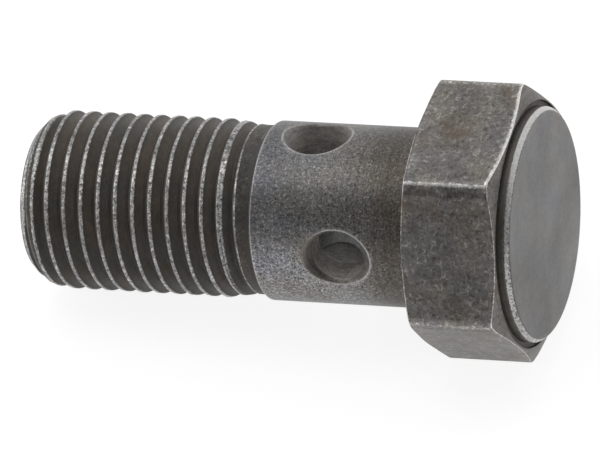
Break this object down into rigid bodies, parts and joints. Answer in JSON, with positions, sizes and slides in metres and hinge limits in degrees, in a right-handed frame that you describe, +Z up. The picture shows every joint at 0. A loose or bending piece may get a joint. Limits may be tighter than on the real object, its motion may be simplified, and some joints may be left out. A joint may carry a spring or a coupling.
{
  "type": "banjo bolt",
  "caption": "Hollow hexagon-head banjo bolt with a plain shank, a fine right-hand thread, an axial bore and crossed, countersunk fluid drillings.",
  "frame": {"origin": "centre of the flat bearing face under the head, on the bolt's axis, with the bolt lying on its side at rest", "axes": "+Z up from the table; +X along the bolt from its free end towards its head, which the bolt's own axis follows with a rise of 5.3 degrees because the head is wider than the thread; +Y across the bolt; one flat of the hexagon faces straight down against the table"},
  "size_m": [0.0298, 0.0158, 0.0143],
  "materials": {
    "steel": "bare machined steel, dulled and oil-stained, with bright worn thread crests"
  },
  "bodies": {
    "root": {"banjo_bolt": "steel"}
  },
  "joints": []
}
